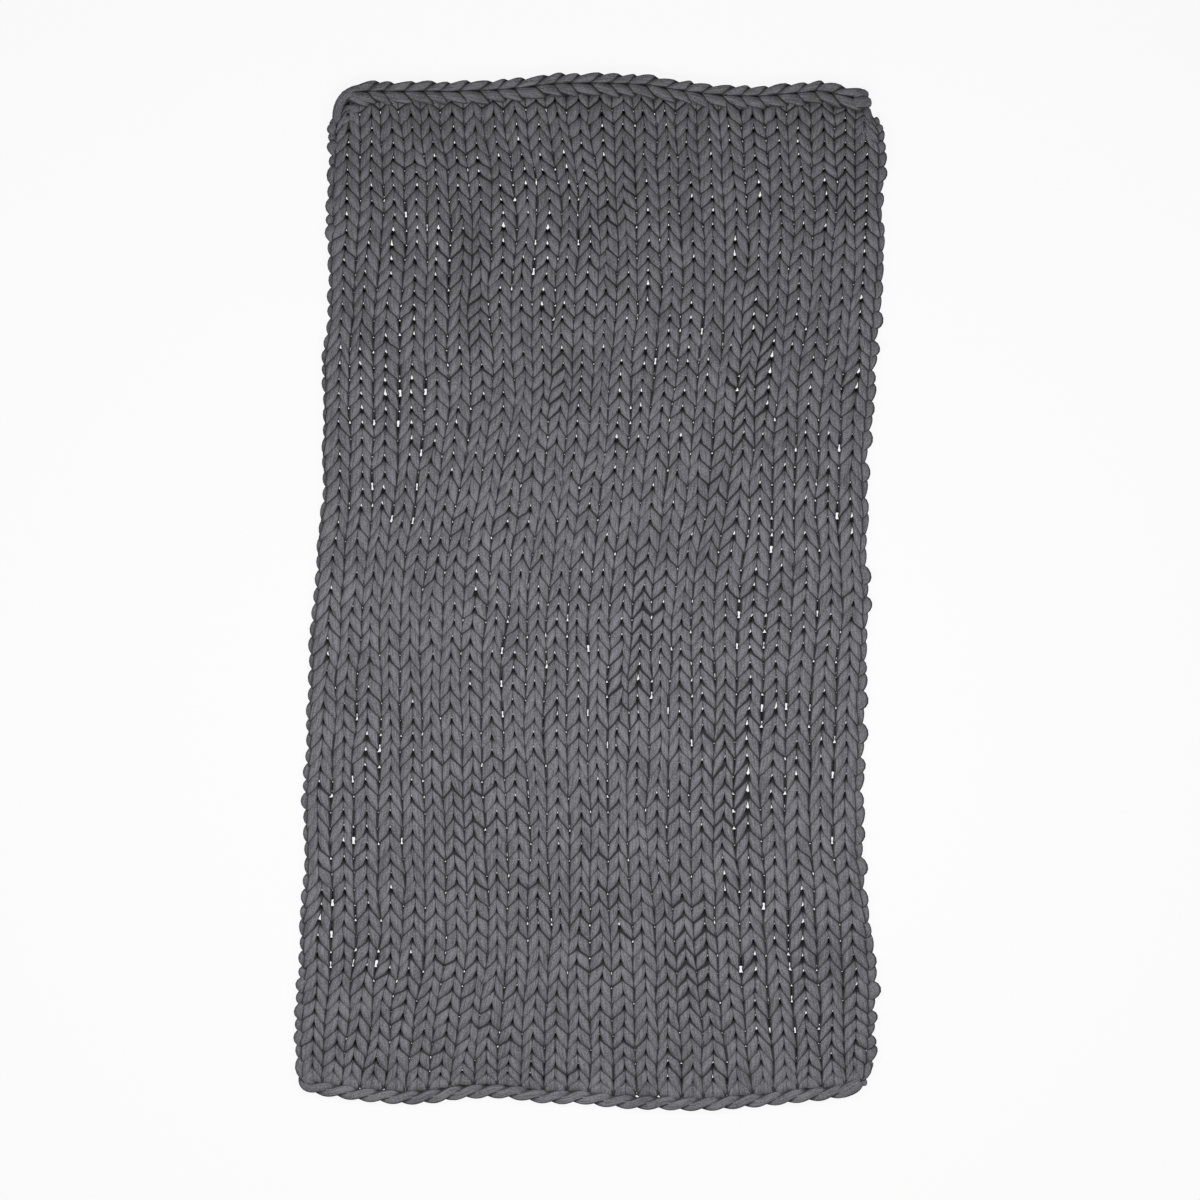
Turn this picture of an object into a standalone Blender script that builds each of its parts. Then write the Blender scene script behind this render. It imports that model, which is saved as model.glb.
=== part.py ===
"""Chunky hand-knitted weighted blanket, spread out flat on the surface it lies on.

The blanket is one closed body. Its knitting gives it a grid of its own: u counts the wales
(the upright columns of V stitches) from the left edge, v counts the courses (the rows of
stitches) from the bottom edge. The body is laid out on that grid, its stray gaps are opened
there, and every point is then moved to its place on the blanket.
"""
import math
import random

import bmesh
import bpy
import numpy as np

MM = 0.001

# Driving dimensions, in millimetres.
LEG_TOP = 27.0          # crest of the stitch legs
WALE_GROOVE = 8.0       # depth of the groove between two wales
LEG_GROOVE = 4.0        # depth of the groove up the middle of a wale
RIM_HEIGHT = 12.0       # height at which the rounded rim turns down
SELVEDGE_BUMP = 5.0     # how far the knots of the side edges stand out
ROPE_GROOVE = 9.0       # depth of the groove above the cast-on rope
ROPE_TWIST = 2.5        # relief of the rope's strands
CHAIN_GROOVE = 6.0      # depth of the groove up the middle of the bind-off chain
CHAIN_LINK = 2.5        # relief of the chain's links
ROPE_ROOM = 5.0         # least distance from the first course down to the rope

# The knitting.
WALES = 24              # whole wales, between the two selvedge columns
COURSES = 64
COURSE_STEP = 2         # courses between two rows of the body's grid
LEG_LIFT = 0.5          # courses that a leg rises from the V's tip to the wale's edge
SELVEDGE_CUTS = 3       # points that shape each selvedge knot
GAP_HALF_WIDTH = 0.10   # in wales
GAP_HALF_HEIGHT = 0.22  # in courses
GAP_SEED = 7

# Rows of the borders, on the same count as the courses.
ROPE_RIM, ROPE_CREST, ROPE_TOP = -3, -2, -1
CHAIN_FOOT, CHAIN_LOWER, CHAIN_MIDDLE, CHAIN_UPPER, CHAIN_RIM = 64, 65, 66, 67, 68
LEFT_RIM, RIGHT_RIM = -0.4, 25.4

# Heights at which the wales are read for the edge lines of the rope and of the chain.
ROPE_LEVEL, LOW_RIM_LEVEL = -850, -870
CHAIN_LEVEL, HIGH_RIM_LEVEL = 840, 873

# Where the guide wales run: height above the middle, then x of each guide wale.
GUIDE_WALES = (1, 4, 7, 10, 13, 16, 19, 22, 24)
WALE_PATHS = (
    (-827, -468, -358, -239, -119, 2, 121, 240, 366, 448),
    (-615, -455, -331, -217, -107, 1, 116, 224, 355, 446),
    (-403, -457, -330, -222, -108, 0, 102, 217, 346, 431),
    (-191, -449, -332, -227, -115, -3, 108, 221, 349, 434),
    (-14, -437, -331, -220, -107, 2, 116, 221, 360, 445),
    (163, -423, -306, -196, -86, 19, 131, 246, 362, 441),
    (339, -422, -291, -169, -66, 37, 149, 258, 369, 448),
    (498, -419, -292, -174, -64, 47, 163, 275, 387, 463),
    (666, -405, -283, -169, -52, 50, 161, 280, 398, 471),
    (816, -405, -294, -184, -71, 41, 154, 270, 391, 470),
)

# How high each course lies: the course, then its height at each level wale.
LEVEL_WALES = (0, 1, 13, 22, 25)
COURSE_LEVELS = (
    (0, -845, -864, -884, -878, -850),
    (8, -656, -656, -671, -664, -664),
    (16, -438, -438, -442, -438, -438),
    (24, -221, -221, -212, -201, -201),
    (32, 9, 9, 14, 19, 19),
    (40, 246, 246, 251, 256, 256),
    (48, 458, 458, 463, 470, 470),
    (56, 671, 671, 675, 680, 680),
    (62, 816, 825, 829, 824, 815),
    (64, 838, 877, 880, 872, 840),
)

# The outline: side edges as (height, x), top and bottom edges as (x, height).
LEFT_EDGE = (
    (-889, -475), (-871, -507), (-853, -514), (-756, -527), (-707, -523), (-546, -514), (-497, -511),
    (-343, -512), (-265, -504), (-171, -505), (-72, -495), (9, -491), (74, -481), (288, -475),
    (419, -474), (504, -468), (716, -468), (836, -461), (873, -449),
)
RIGHT_EDGE = (
    (-891, 470), (-846, 498), (-816, 511), (-753, 512), (-641, 504), (-585, 500), (-532, 493),
    (-435, 486), (-364, 491), (-189, 491), (-78, 497), (-23, 500), (78, 495), (145, 498), (260, 500),
    (375, 507), (424, 512), (521, 518), (633, 525), (696, 523), (779, 527), (840, 515), (871, 505),
)
TOP_EDGE = (
    (-458, 864), (-449, 874), (-422, 894), (-389, 903), (-231, 901), (-110, 906), (-39, 914), (117, 915),
    (177, 903), (267, 892), (316, 889), (403, 903), (470, 894), (491, 887), (512, 866),
)
BOTTOM_EDGE = (
    (-512, -868), (-495, -881), (-472, -891), (-403, -899), (-318, -905), (-214, -897), (-145, -894),
    (-39, -903), (72, -912), (212, -915), (299, -912), (385, -899), (466, -891), (490, -872),
)
ROPE_LINE = (
    (-515, -850), (-495, -866), (-433, -869), (-396, -878), (-318, -882), (-230, -871), (-148, -868),
    (-51, -882), (39, -885), (80, -892), (249, -894), (290, -885), (413, -875), (477, -859), (498, -852),
)
CHAIN_LINE = (
    (-462, 838), (-424, 862), (-214, 865), (-92, 877), (106, 877), (212, 861), (299, 855), (385, 863),
    (474, 855), (515, 840),
)

# Gathers: wale, first and last course, half width in wales, rise (a valley is below 0), pinch.
GATHERS = (
    (12.5, 49, 61, 1.2, -7, 5),
    (6.0, 48, 58, 0.8, -7, 2),
    (19.5, 39, 50, 0.9, 5, 0),
    (19.0, 33, 40, 0.7, -6, 2),
    (10.5, 41, 48, 0.9, 4, 0),
    (15.3, 29, 33, 0.8, 5, 0),
    (15.0, 23, 29, 0.7, -6, 2),
    (7.0, 13, 22, 0.9, -8, 3),
    (19.7, 15, 26, 1.2, 5, 0),
    (13.5, 8, 18, 0.9, -6, 2),
    (17.7, 5, 13, 1.0, 5, 2),
)

# Loose places: first and last wale, first and last course, stray gaps opened there.
LOOSE_PLACES = (
    (1, 4, 36, 47, 12),
    (2.5, 5, 52, 57, 3),
    (8.5, 11, 50, 58, 4),
    (13, 18, 40, 49, 8),
    (20, 24, 33, 41, 7),
    (9, 13, 24, 33, 6),
    (15, 18, 22, 30, 5),
    (20, 24, 15, 31, 9),
    (1, 5, 14, 26, 8),
    (8, 10, 12, 16, 3),
    (20, 24, 3, 12, 5),
    (1, 3, 8, 14, 4),
)


def along(table, t):
    """Read a two-column table at t, on a smooth curve through its points."""
    places, values = np.array(table, float).T
    slopes = np.gradient(values, places)
    i = min(max(int(np.searchsorted(places, t)) - 1, 0), len(places) - 2)
    span = places[i + 1] - places[i]
    s = min(max((t - places[i]) / span, 0.0), 1.0)
    start = (1.0 + 2.0 * s) * values[i] + s * span * slopes[i]
    end = (3.0 - 2.0 * s) * values[i + 1] - (1.0 - s) * span * slopes[i + 1]
    return float((1.0 - s) ** 2 * start + s ** 2 * end)


def across(table, guides, t, u):
    """Read a table whose first column is t and whose other columns stand at the guide wales."""
    columns = np.array(table, float).T
    values = [np.interp(t, columns[0], column) for column in columns[1:]]
    return float(np.interp(u, guides, values))


def wale_x(u, y):
    """X of wale line u at height y, between the blanket's side edges."""
    columns = np.array(WALE_PATHS, float).T
    inner = [np.interp(y, columns[0], column) for column in columns[1:]]
    stations = (LEFT_RIM, *GUIDE_WALES, RIGHT_RIM)
    return float(np.interp(u, stations, [along(LEFT_EDGE, y), *inner, along(RIGHT_EDGE, y)]))


def leg_lift(u):
    """Courses by which a row of stitches rises from the tips of its Vs towards the wale's edges."""
    return LEG_LIFT * 2.0 * abs(u - round(u)) if 0 < u < WALES + 1 else 0.0


def knot_hollow(u, v):
    """How far the rim is drawn in between the knots of the side edges, one knot to two courses."""
    beyond = max(-u, u - WALES - 1, 0.0) / -LEFT_RIM
    hollow = SELVEDGE_BUMP * beyond * (1.0 + math.cos(math.pi * v)) / 2.0
    return hollow if u < 0 else -hollow


def swell(t, first, last):
    """A smooth rise from 0 to 1 and back over first..last."""
    if not first < t < last:
        return 0.0
    return math.sin(math.pi * (t - first) / (last - first)) ** 2


def gather(u, v):
    """Rise and sideways draw of the gathers at (u, v)."""
    rise, draw = 0.0, 0.0
    for wale, first, last, width, lift, pinch in GATHERS:
        reach = (u - wale) / width
        strength = math.exp(-reach * reach) * swell(v, first - 1, last + 1)
        rise += lift * strength
        draw -= pinch * reach * strength
    return rise, draw


def border_point(u, v):
    """A point of the rope or the chain, whose rows lie between its inner line and the rim."""
    rope = v < 0
    inner_level, rim_level = (ROPE_LEVEL, LOW_RIM_LEVEL) if rope else (CHAIN_LEVEL, HIGH_RIM_LEVEL)
    inner_x, rim_x = wale_x(u, inner_level), wale_x(u, rim_level)
    wave = (1.0 + math.cos(2.0 * math.pi * u)) / 2.0
    if rope:
        first_course = across(COURSE_LEVELS, LEVEL_WALES, 0, u)
        inner_y = min(along(ROPE_LINE, inner_x), first_course - ROPE_ROOM)
        rim_y = along(BOTTOM_EDGE, rim_x) + ROPE_TWIST * wave
        share = (ROPE_TOP - v) / (ROPE_TOP - ROPE_RIM)
    else:
        inner_y = along(CHAIN_LINE, inner_x)
        rim_y = along(TOP_EDGE, rim_x) - CHAIN_LINK * wave
        share = (v - CHAIN_FOOT) / (CHAIN_RIM - CHAIN_FOOT)
    return inner_x + (rim_x - inner_x) * share, inner_y + (rim_y - inner_y) * share


def relief(u, v):
    """Height of the blanket's upper face above the surface it lies on."""
    slant = math.cos(2.0 * math.pi * (u + v / 4.0))
    borders = {
        ROPE_RIM: RIM_HEIGHT,
        ROPE_CREST: LEG_TOP - ROPE_TWIST * (1.0 - slant) / 2.0,
        ROPE_TOP: LEG_TOP - ROPE_GROOVE,
        CHAIN_FOOT: LEG_TOP - CHAIN_GROOVE,
        CHAIN_LOWER: LEG_TOP - CHAIN_LINK * (1.0 + slant) / 2.0,
        CHAIN_MIDDLE: LEG_TOP - CHAIN_GROOVE,
        CHAIN_UPPER: LEG_TOP - CHAIN_LINK * (1.0 - slant) / 2.0,
        CHAIN_RIM: RIM_HEIGHT,
    }
    if u in (LEFT_RIM, RIGHT_RIM):
        return RIM_HEIGHT
    if v in borders:
        return borders[v]
    groove = LEG_GROOVE if abs(u - round(u)) < 0.25 else WALE_GROOVE
    return LEG_TOP - groove * (1.0 + math.cos(4.0 * math.pi * u)) / 2.0 + gather(u, v)[0]


def place(u, v):
    """The point of the upper face that belongs to (u, v) on the knitting's grid."""
    if 0 <= v < CHAIN_FOOT:
        y = across(COURSE_LEVELS, LEVEL_WALES, v + leg_lift(u), u)
        x = wale_x(u, y) + gather(u, v)[1] + knot_hollow(u, v)
    else:
        x, y = border_point(u, v)
    return x * MM, y * MM, relief(u, v) * MM


def grid_lines():
    """The wale lines and the rows on which the body's grid is laid."""
    knit = [i / 4.0 for i in range(4 * (WALES + 1) + 1)]
    columns = [LEFT_RIM, LEFT_RIM / 2.0, *knit, WALES + 1 - LEFT_RIM / 2.0, RIGHT_RIM]
    rows = [ROPE_RIM, ROPE_CREST, ROPE_TOP, *range(0, COURSES, COURSE_STEP)]
    rows += [CHAIN_FOOT, CHAIN_LOWER, CHAIN_MIDDLE, CHAIN_UPPER, CHAIN_RIM]
    return columns, rows


def lay_grid(bm):
    """Lay the upper face on the knitting's grid, with u and v as its coordinates."""
    columns, rows = grid_lines()
    lines = [[bm.verts.new((u, v, 0.0)) for u in columns] for v in rows]
    for low, high in zip(lines, lines[1:]):
        for i in range(len(columns) - 1):
            bm.faces.new((low[i], low[i + 1], high[i + 1], high[i]))


def round_selvedges(bm):
    """Split the side edges along the knitted rows, so that they can carry the selvedge's knots."""
    bm.normal_update()
    knots = [edge for edge in bm.edges if edge.is_boundary and edge.verts[0].co.x == edge.verts[1].co.x
             and all(0 <= vert.co.y <= CHAIN_FOOT for vert in edge.verts)]
    bmesh.ops.subdivide_edges(bm, edges=knots, cuts=SELVEDGE_CUTS)


def stray_gaps():
    """The (u, v) of the gaps that have slipped open in the loose places."""
    chance = random.Random(GAP_SEED)
    gaps = set()
    for first_wale, last_wale, first_course, last_course, count in LOOSE_PLACES:
        spots = [(step / 2.0, course)
                 for course in range(first_course, last_course + 1) if course % COURSE_STEP == 0
                 for step in range(math.ceil(2 * first_wale), math.floor(2 * last_wale) + 1)]
        gaps.update(chance.sample(spots, count))
    return gaps


def open_gaps(bm):
    """Open a diamond at each stray gap: the grid's point there is bevelled, and its face removed."""
    gaps = stray_gaps()
    tips = [vert for vert in bm.verts if (vert.co.x, vert.co.y) in gaps]
    for tip in tips:
        middle = tip.co.copy()
        made = bmesh.ops.bevel(bm, geom=[tip], offset=GAP_HALF_WIDTH, affect="VERTICES", segments=1)
        for vert in made["verts"]:
            vert.co.y = middle.y + (vert.co.y - middle.y) * GAP_HALF_HEIGHT / GAP_HALF_WIDTH
        bmesh.ops.delete(bm, geom=made["faces"], context="FACES")


def close_body(bm):
    """Turn the rim and the gaps' edges down to the surface and fill the flat underside."""
    rims = [edge for edge in bm.edges if edge.is_boundary]
    walls = bmesh.ops.extrude_edge_only(bm, edges=rims)["geom"]
    for vert in walls:
        if isinstance(vert, bmesh.types.BMVert):
            vert.co.z = 0.0
    feet = [edge for edge in walls if isinstance(edge, bmesh.types.BMEdge) and edge.is_boundary]
    bmesh.ops.triangle_fill(bm, use_beauty=True, edges=feet, normal=(0.0, 0.0, -1.0))
    bmesh.ops.triangulate(bm, faces=bm.faces)
    bmesh.ops.recalc_face_normals(bm, faces=bm.faces)


def centre_on_origin(bm):
    """Put the middle of the blanket's outline over the origin."""
    for axis in (0, 1):
        places = [vert.co[axis] for vert in bm.verts]
        middle = (min(places) + max(places)) / 2.0
        for vert in bm.verts:
            vert.co[axis] -= middle


def knit_blanket():
    """The whole blanket as one closed body."""
    bm = bmesh.new()
    lay_grid(bm)
    round_selvedges(bm)
    open_gaps(bm)
    for vert in bm.verts:
        vert.co = place(vert.co.x, vert.co.y)
    close_body(bm)
    centre_on_origin(bm)
    mesh = bpy.data.meshes.new("knit_blanket")
    bm.to_mesh(mesh)
    bm.free()
    mesh.shade_smooth()
    mesh.set_sharp_from_angle(angle=math.radians(50.0))
    blanket = bpy.data.objects.new("knit_blanket", mesh)
    bpy.context.scene.collection.objects.link(blanket)
    return blanket


def chunky_yarn():
    """Matte charcoal-grey yarn."""
    material = bpy.data.materials.new("chunky_yarn")
    material.use_nodes = True
    surface = material.node_tree.nodes["Principled BSDF"]
    surface.inputs["Base Color"].default_value = (0.125, 0.122, 0.135, 1.0)
    surface.inputs["Roughness"].default_value = 0.9
    surface.inputs["Metallic"].default_value = 0.0
    return material


for old in list(bpy.data.objects):
    bpy.data.objects.remove(old, do_unlink=True)
knit_blanket().data.materials.append(chunky_yarn())
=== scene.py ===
import math
import random

import bmesh
import bpy
import numpy as np
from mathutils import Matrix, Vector


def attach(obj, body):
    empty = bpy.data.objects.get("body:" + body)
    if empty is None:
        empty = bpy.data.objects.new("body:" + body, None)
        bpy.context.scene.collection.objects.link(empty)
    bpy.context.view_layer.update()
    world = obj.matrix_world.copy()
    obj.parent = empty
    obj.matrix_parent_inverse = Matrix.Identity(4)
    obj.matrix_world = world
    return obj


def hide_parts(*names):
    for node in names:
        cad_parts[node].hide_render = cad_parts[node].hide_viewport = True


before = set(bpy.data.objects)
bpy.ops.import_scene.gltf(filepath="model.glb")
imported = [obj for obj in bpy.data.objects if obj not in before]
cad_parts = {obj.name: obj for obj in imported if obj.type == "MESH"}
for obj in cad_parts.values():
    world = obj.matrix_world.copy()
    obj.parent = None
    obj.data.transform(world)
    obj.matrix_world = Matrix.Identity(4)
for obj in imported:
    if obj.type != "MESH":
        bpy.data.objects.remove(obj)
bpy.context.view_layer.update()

NODE = "knit_blanket"
MM = 0.001

# ---------------------------------------------------------------- the knitting's layout

WALES, COURSES = 24, 64
WALE, COURSE = 38.0, 28.0      # nominal gauge: width of a wale, height of a course
LEFT_RIM, RIGHT_RIM = -0.4, 25.4      # the outline, counted in wales

# Where the guide wales run: height above the middle, then x of each guide wale.
GUIDE_WALES = (1, 4, 7, 10, 13, 16, 19, 22, 24)
WALE_PATHS = (
    (-827, -468, -358, -239, -119, 2, 121, 240, 366, 448),
    (-615, -455, -331, -217, -107, 1, 116, 224, 355, 446),
    (-403, -457, -330, -222, -108, 0, 102, 217, 346, 431),
    (-191, -449, -332, -227, -115, -3, 108, 221, 349, 434),
    (-14, -437, -331, -220, -107, 2, 116, 221, 360, 445),
    (163, -423, -306, -196, -86, 19, 131, 246, 362, 441),
    (339, -422, -291, -169, -66, 37, 149, 258, 369, 448),
    (498, -419, -292, -174, -64, 47, 163, 275, 387, 463),
    (666, -405, -283, -169, -52, 50, 161, 280, 398, 471),
    (816, -405, -294, -184, -71, 41, 154, 270, 391, 470),
)

# How high the courses lie: the course, then its height at each level wale.
LEVEL_WALES = (0, 1, 13, 22, 25)
COURSE_LEVELS = (
    (0, -845, -864, -884, -878, -850),
    (8, -656, -656, -671, -664, -664),
    (16, -438, -438, -442, -438, -438),
    (24, -221, -221, -212, -201, -201),
    (32, 9, 9, 14, 19, 19),
    (40, 246, 246, 251, 256, 256),
    (48, 458, 458, 463, 470, 470),
    (56, 671, 671, 675, 680, 680),
    (62, 816, 825, 829, 824, 815),
    (64, 838, 877, 880, 872, 840),
)

# The side edges of the blanket: height above the middle, x.
LEFT_EDGE = (
    (-889, -475), (-871, -507), (-853, -514), (-756, -527), (-707, -523), (-546, -514), (-497, -511),
    (-343, -512), (-265, -504), (-171, -505), (-72, -495), (9, -491), (74, -481), (288, -475),
    (419, -474), (504, -468), (716, -468), (836, -461), (873, -449),
)
RIGHT_EDGE = (
    (-891, 470), (-846, 498), (-816, 511), (-753, 512), (-641, 504), (-585, 500), (-532, 493),
    (-435, 486), (-364, 491), (-189, 491), (-78, 497), (-23, 500), (78, 495), (145, 498), (260, 500),
    (375, 507), (424, 512), (521, 518), (633, 525), (696, 523), (779, 527), (840, 515), (871, 505),
)

# The cast-on rope's middle line, from the left corner, where it curls up, to its blunt right end.
ROPE_MIDDLE = (
    (-507, -852), (-505, -864), (-497, -872), (-482, -877), (-440, -882), (-405, -888), (-369, -890),
    (-334, -894), (-299, -893), (-263, -890), (-237, -885), (-210, -883), (-175, -882), (-140, -883),
    (-122, -886), (-87, -891), (-51, -893), (-16, -892), (19, -897), (55, -900), (90, -903), (125, -902),
    (161, -905), (231, -904), (267, -900), (302, -898), (337, -894), (373, -890), (408, -887),
    (440, -883), (462, -879),
)
# The dark line between the two strands of the bind-off chain.
CHAIN_LINE = (
    (-460, 874), (-431, 882), (-405, 884), (-228, 884), (-157, 887), (-122, 890), (-78, 896), (-34, 899),
    (55, 898), (108, 895), (125, 892), (161, 886), (196, 881), (258, 876), (302, 876), (346, 879),
    (399, 885), (426, 882), (452, 876), (490, 870),
)

# Gathers: wale, first and last course, half width in wales, rise (a valley is below 0) and how far
# the yarn is drawn in to the middle.
GATHERS = (
    (12.2, 49, 61, 1.0, -8, 6),
    (13.4, 54, 62, 0.6, 7, 5),
    (6.0, 48, 58, 0.8, -9, 6),
    (6.6, 45, 56, 0.5, 7, 5),
    (19.6, 38, 51, 0.6, 9, 5),
    (18.6, 33, 43, 0.6, -8, 6),
    (10.5, 41, 48, 0.7, 7, 5),
    (15.5, 26, 34, 0.6, 9, 5),
    (14.8, 23, 29, 0.6, -8, 6),
    (7.0, 13, 22, 0.9, -9, 6),
    (19.5, 15, 26, 0.8, 8, 5),
    (13.5, 8, 18, 0.9, -8, 6),
    (17.6, 5, 13, 0.8, 8, 5),
    (23.5, 55, 61, 0.6, 7, 5),
)

# Loose places: first and last wale, first and last course, stray gaps opened there. A loose
# place fades out over the wales and courses around it, and stray gaps lie on every second course.
FADE_WALES, FADE_COURSES = 2.0, 3.0
GAP_SEED, COURSE_STEP = 7, 2
LOOSE_PLACES = (
    (1, 4, 36, 47, 12),
    (2.5, 5, 52, 57, 3),
    (8.5, 11, 50, 58, 4),
    (13, 18, 40, 49, 8),
    (20, 24, 33, 41, 7),
    (9, 13, 24, 33, 6),
    (15, 18, 22, 30, 5),
    (20, 24, 15, 31, 9),
    (1, 5, 14, 26, 8),
    (8, 11, 12, 24, 6),
    (14, 17, 17, 22, 3),
    (20, 24, 3, 12, 5),
    (1, 3, 8, 14, 4),
)


RUN_ON = 0.4      # how far smooth values run on past the outer stations, in their own spans


def read(table, t):
    """Read a two-column table at the places t, on a smooth curve that runs on past its ends."""
    places, values = np.array(table, float).T
    slopes = np.gradient(values, places)
    inside = np.clip(t, places[0], places[-1])
    i = np.clip(np.searchsorted(places, inside) - 1, 0, len(places) - 2)
    span = places[i + 1] - places[i]
    s = (inside - places[i]) / span
    start = (1 + 2 * s) * values[i] + s * span * slopes[i]
    end = (3 - 2 * s) * values[i + 1] - (1 - s) * span * slopes[i + 1]
    beyond = (t - inside) * np.where(t > inside, slopes[-1], slopes[0])
    return (1 - s) ** 2 * start + s ** 2 * end + beyond


def between(stations, values, u):
    """Smooth values across the stations, one row of values for each u."""
    stations = np.array(stations, float)
    slopes = np.gradient(values, stations, axis=1)
    i = np.clip(np.searchsorted(stations, u) - 1, 0, len(stations) - 2)
    row = np.arange(len(u))
    span = stations[i + 1] - stations[i]
    s = np.clip((u - stations[i]) / span, -RUN_ON, 1.0 + RUN_ON)
    start = (1 + 2 * s) * values[row, i] + s * span * slopes[row, i]
    end = (3 - 2 * s) * values[row, i + 1] - (1 - s) * span * slopes[row, i + 1]
    return (1 - s) ** 2 * start + s ** 2 * end


def columns_of(table):
    """A table's columns after the first, each as a two-column table of its own."""
    return [[(row[0], row[k]) for row in table] for k in range(1, len(table[0]))]


def wale_x(u, y):
    """X of the wale lines u at the heights y."""
    lines = [LEFT_EDGE, *columns_of(WALE_PATHS), RIGHT_EDGE]
    clamped = np.clip(y, LEFT_EDGE[0][0], LEFT_EDGE[-1][0])
    values = np.stack([read(line, clamped) for line in lines], axis=1)
    return between((LEFT_RIM, *GUIDE_WALES, RIGHT_RIM), values, u)


def course_y(u, v):
    """Height of the courses v at the wale lines u."""
    values = np.stack([read(line, v) for line in columns_of(COURSE_LEVELS)], axis=1)
    k = np.clip(np.searchsorted(LEVEL_WALES, u) - 1, 0, len(LEVEL_WALES) - 2)
    row, wales = np.arange(len(u)), np.array(LEVEL_WALES, float)
    s = np.clip((u - wales[k]) / (wales[k + 1] - wales[k]), 0, 1)
    return values[row, k] * (1 - s) + values[row, k + 1] * s


def swell(t, first, last):
    """A smooth rise from 0 to 1 and back over first..last."""
    return np.sin(math.pi * np.clip((t - first) / (last - first), 0, 1)) ** 2


def gather(u, v):
    """Rise and sideways draw of the gathers."""
    rise, draw = np.zeros(len(u)), np.zeros(len(u))
    for wale, first, last, width, lift, pinch in GATHERS:
        reach = (u - wale) / width
        strength = np.exp(-reach * reach) * np.sqrt(swell(v, first - 1, last + 1))
        rise += lift * strength
        draw -= pinch * reach * strength
    return rise, draw


# How far the knitting strays at the V tips and between the wales; how like its neighbours above and
# below each step is; the spread that this gives; the largest step, in times the size.
TIP_WANDER, RIB_WANDER = 2.3, 2.7
LIKENESS, WANDER_SPREAD, LARGEST_STEP = 0.7, 1.4, 2.2
ROWS_BELOW, WANDER_ROWS = 3.0, COURSES + 8      # rows of steps below the first course, and in all
wander_rng = np.random.default_rng(41)


def wandering(size):
    """Stray sideways and upward steps for a grid of places, a little like their neighbours'."""
    steps = wander_rng.normal(0.0, 1.0, (WALES + 3, WANDER_ROWS, 2))
    steps = steps + LIKENESS * (np.roll(steps, 1, axis=1) + np.roll(steps, -1, axis=1))
    return (steps * size / WANDER_SPREAD).clip(-LARGEST_STEP * size, LARGEST_STEP * size)


TIP_STEPS, RIB_STEPS = wandering(TIP_WANDER), wandering(RIB_WANDER)


def step_at(steps, column, v):
    """The stray step of one column of places at the height v."""
    row = np.clip(v + ROWS_BELOW, 0.0, WANDER_ROWS - 1.01)
    low = np.floor(row).astype(int)
    part = (row - low)[:, None]
    return steps[column, low] * (1 - part) + steps[column, low + 1] * part


def wander(u, v):
    """How far the knitting strays: each line of V tips and each line between wales by itself."""
    tip = np.cos(math.pi * u)[:, None] ** 2
    at_tip = np.rint(u).astype(int).clip(-1, WALES + 1) + 1
    at_rib = np.floor(u).astype(int).clip(-1, WALES + 1) + 1
    return step_at(TIP_STEPS, at_tip, v) * tip + step_at(RIB_STEPS, at_rib, v) * (1 - tip)


# The first course follows the rope at this clearance, and the next courses less and less.
ROPE_CLEARANCE, ROPE_REACH = 20.0, 2.0
ROPE_CURL = 3      # points of the rope's line where it curls up at the left, with no course above


def knit_place(u, v):
    """Where the point (u, v) of the knitted ground lies: x, y and the rise of the ground there."""
    y = course_y(u, v)
    x = wale_x(u, y)
    low = (1.0 - (v / ROPE_REACH).clip(0.0, 1.0)) ** 2
    rope = np.interp(x, *np.array(ROPE_MIDDLE[ROPE_CURL:], float).T)
    y = y + low * (rope + ROPE_CLEARANCE - course_y(u, 0.0 * v))
    rise, draw = gather(u, v)
    stray = wander(u, v)
    return np.stack([x + draw + stray[:, 0], y + stray[:, 1] * (1.0 - low), rise], axis=1)


CHAIN_LINKS, CHAIN_FIRST, CHAIN_LAST = 27, -425.0, 466.0
CHAIN_STEP, CHAIN_WIDTH = 33.0, 38.0      # nominal length and width of a link
LOWER_STRAND, UPPER_STRAND = 1.12, 0.86      # width of each strand, in nominal widths
# The links differ: two waves in their spacing (size in links, quickness, start), one in their width.
LINK_WAVES = ((0.10, 1.9, 0.0), (0.07, 4.3, 1.0))
LINK_SWELL, LINK_QUICKNESS, STRAND_START = 0.08, 2.6, 2.0


def chain_place(u, v):
    """Where (u, v) of the bind-off chain lies: v runs to the right, u down from its dark line."""
    shift = sum(size * np.sin(quickness * v + start) for size, quickness, start in LINK_WAVES)
    x = CHAIN_FIRST + (CHAIN_LAST - CHAIN_FIRST) * (v + shift) / CHAIN_LINKS
    middle = np.interp(x, *np.array(CHAIN_LINE, float).T)
    uneven = 1.0 + LINK_SWELL * np.sin(LINK_QUICKNESS * v + STRAND_START * np.sign(u))
    wide = np.where(u > 0, LOWER_STRAND, UPPER_STRAND) * uneven
    return np.stack([x, middle - CHAIN_WIDTH * u * wide, np.zeros(len(u))], axis=1)


# ---------------------------------------------------------------- yarn

# The yarn's section, squashed where its neighbours press on it, in half widths and half depths.
SECTION = ((1.06, -0.35), (0.92, 1.0), (-0.92, 1.0), (-1.06, -0.35), (-0.6, -1.0), (0.6, -1.0))
SHOULDERS, SHOULDER_CREASE = (1, 2), 0.5
TUCK_DEPTH = 24.0      # free yarn this far below its path's crown gets the full painted shade
OUTER_EASE = 0.2       # the outer side of a leg gets less painted shade than its middle
SIDES = len(SECTION)
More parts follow.
